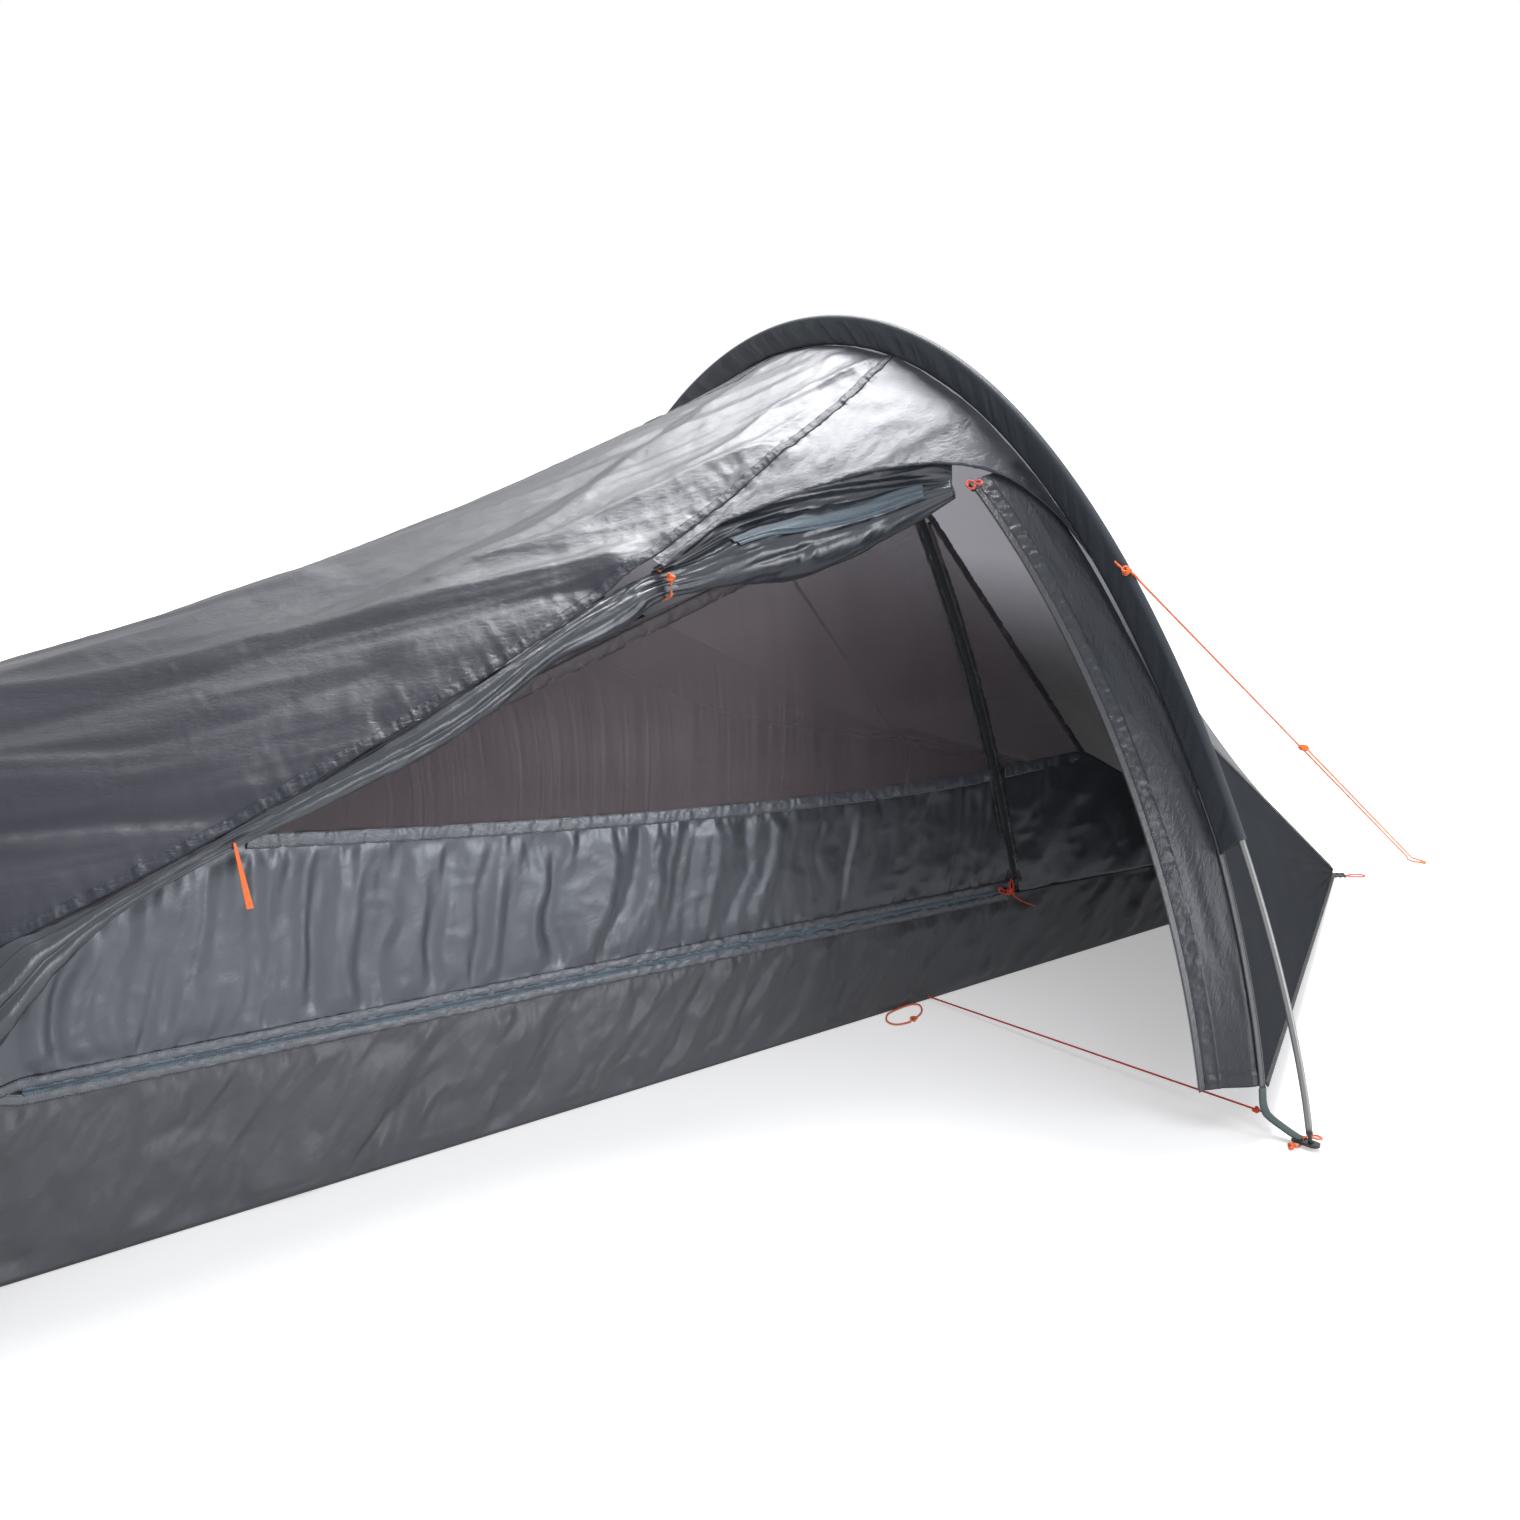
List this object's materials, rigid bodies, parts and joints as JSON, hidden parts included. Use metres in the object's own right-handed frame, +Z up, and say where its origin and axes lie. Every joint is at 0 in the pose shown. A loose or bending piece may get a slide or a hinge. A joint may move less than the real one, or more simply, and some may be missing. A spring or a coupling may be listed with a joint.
{
  "type": "one-person hoop tent with inner tent",
  "caption": "One-person tent pitched on a tall head hoop and a low foot hoop: grey outer tent with its door rolled up, mesh inner tent, orange guyline and peg loops.",
  "frame": {"origin": "on the ground, on the underside of the inner floor, straight below the top of the main hoop", "axes": "+X to the head end along the tent, +Y to the side away from the door, +Z up"},
  "size_m": [3.1335, 1.6868, 0.95],
  "materials": {
    "pole_alloy": "matte anodised, fine lengthwise lines",
    "black_plastic": "moulded",
    "grey_plastic": "moulded",
    "orange_plastic": "moulded",
    "sleeve_cloth": "plain weave, satin",
    "fly_cloth": "coated ripstop, silvery satin",
    "head_cloth": "coated ripstop, satin",
    "door_cloth": "coated ripstop, inner face out",
    "tub_cloth": "coated floor cloth",
    "inner_cloth": "satin, gathered at the seam",
    "mesh_cloth": "fine insect mesh",
    "zip_tape": "coil zip on woven tape",
    "webbing": "ribbed webbing",
    "orange_cord": "braided cord",
    "elastic": "covered elastic"
  },
  "bodies": {
    "tent": {"main_pole_1": "pole_alloy", "main_pole_2": "pole_alloy", "main_pole_3": "pole_alloy", "main_pole_4": "pole_alloy", "main_pole_5": "pole_alloy", "foot_pole_1": "pole_alloy", "foot_pole_2": "pole_alloy", "main_pole_tip_near": "black_plastic", "main_pole_tip_far": "black_plastic", "foot_pole_tip_near": "black_plastic", "foot_pole_tip_far": "black_plastic", "near_eyelet": "black_plastic", "far_eyelet": "black_plastic", "head_near_buckle": "black_plastic", "head_far_buckle": "black_plastic", "main_sleeve": "sleeve_cloth", "foot_sleeve": "sleeve_cloth", "fly_roof": "fly_cloth", "fly_brow": "fly_cloth", "fly_far_side": "fly_cloth", "fly_foot_end": "fly_cloth", "fly_door_jamb": "fly_cloth", "fly_head_top": "fly_cloth", "fly_head_near": "head_cloth", "fly_head_far": "head_cloth", "fly_door_rolled": "door_cloth", "inner_floor": "tub_cloth", "inner_near_tub": "tub_cloth", "inner_door_panel": "inner_cloth", "inner_side_panel": "inner_cloth", "inner_far_wall": "inner_cloth", "inner_head_wall": "inner_cloth", "inner_foot_wall": "inner_cloth", "inner_door_mesh": "mesh_cloth", "inner_side_mesh": "mesh_cloth", "inner_roof_mesh": "mesh_cloth", "inner_zip_bottom": "zip_tape", "inner_zip_upright": "zip_tape", "fly_door_zip": "zip_tape", "near_foot_strap": "webbing", "far_foot_strap": "webbing", "guy_tab_near": "webbing", "guy_tab_far": "webbing", "guyline": "orange_cord", "cross_cord": "orange_cord", "near_peg_loop": "orange_cord", "far_peg_loop": "orange_cord", "inner_peg_loop": "orange_cord", "head_near_loop": "orange_cord", "toggle_front_cord": "orange_cord", "main_pole_elastic": "elastic", "inner_hanger": "elastic"},
    "inner_bottom_slider": {"inner_slider_bottom": "black_plastic", "inner_pull_bow": "orange_cord"},
    "inner_upright_slider": {"inner_slider_upright": "black_plastic"},
    "fly_slider": {"fly_zip_slider": "black_plastic", "fly_zip_pull": "orange_cord"},
    "runner": {"guy_runner": "orange_plastic"},
    "front_toggle": {"toggle_front": "grey_plastic"},
    "back_tie_tail": {"tie_tail": "orange_cord"}
  },
  "joints": [
    {"name": "inner_bottom_zip_run", "type": "slide", "parent": "tent", "child": "inner_bottom_slider", "axis": [-0.9989, 0, 0.0476], "range_m": [0, 1.425]},
    {"name": "inner_upright_zip_run", "type": "hinge", "parent": "tent", "child": "inner_upright_slider", "pos_m": [-2.08484, -0.1778, -0.41628], "axis": [0, -1, 0], "range_deg": [0, 13.9]},
    {"name": "outer_door_zip_run", "type": "hinge", "parent": "tent", "child": "fly_slider", "pos_m": [0.10359, 0.29889, -0.05761], "axis": [0.9844, -0.1471, 0.0965], "range_deg": [0, 43.7]},
    {"name": "guy_runner_slide", "type": "slide", "parent": "tent", "child": "runner", "axis": [-0.8563, -0.2264, 0.4641], "range_m": [0, 0.3]},
    {"name": "front_toggle_turn", "type": "hinge", "parent": "tent", "child": "front_toggle", "pos_m": [-0.472, -0.229, 0.64], "axis": [0, 0, 1], "range_deg": [-35, 35]},
    {"name": "back_tie_tail_swing", "type": "hinge", "parent": "tent", "child": "back_tie_tail", "pos_m": [-1.048, -0.2469, 0.435], "axis": [-1, 0, 0], "range_deg": [0, 100]}
  ]
}
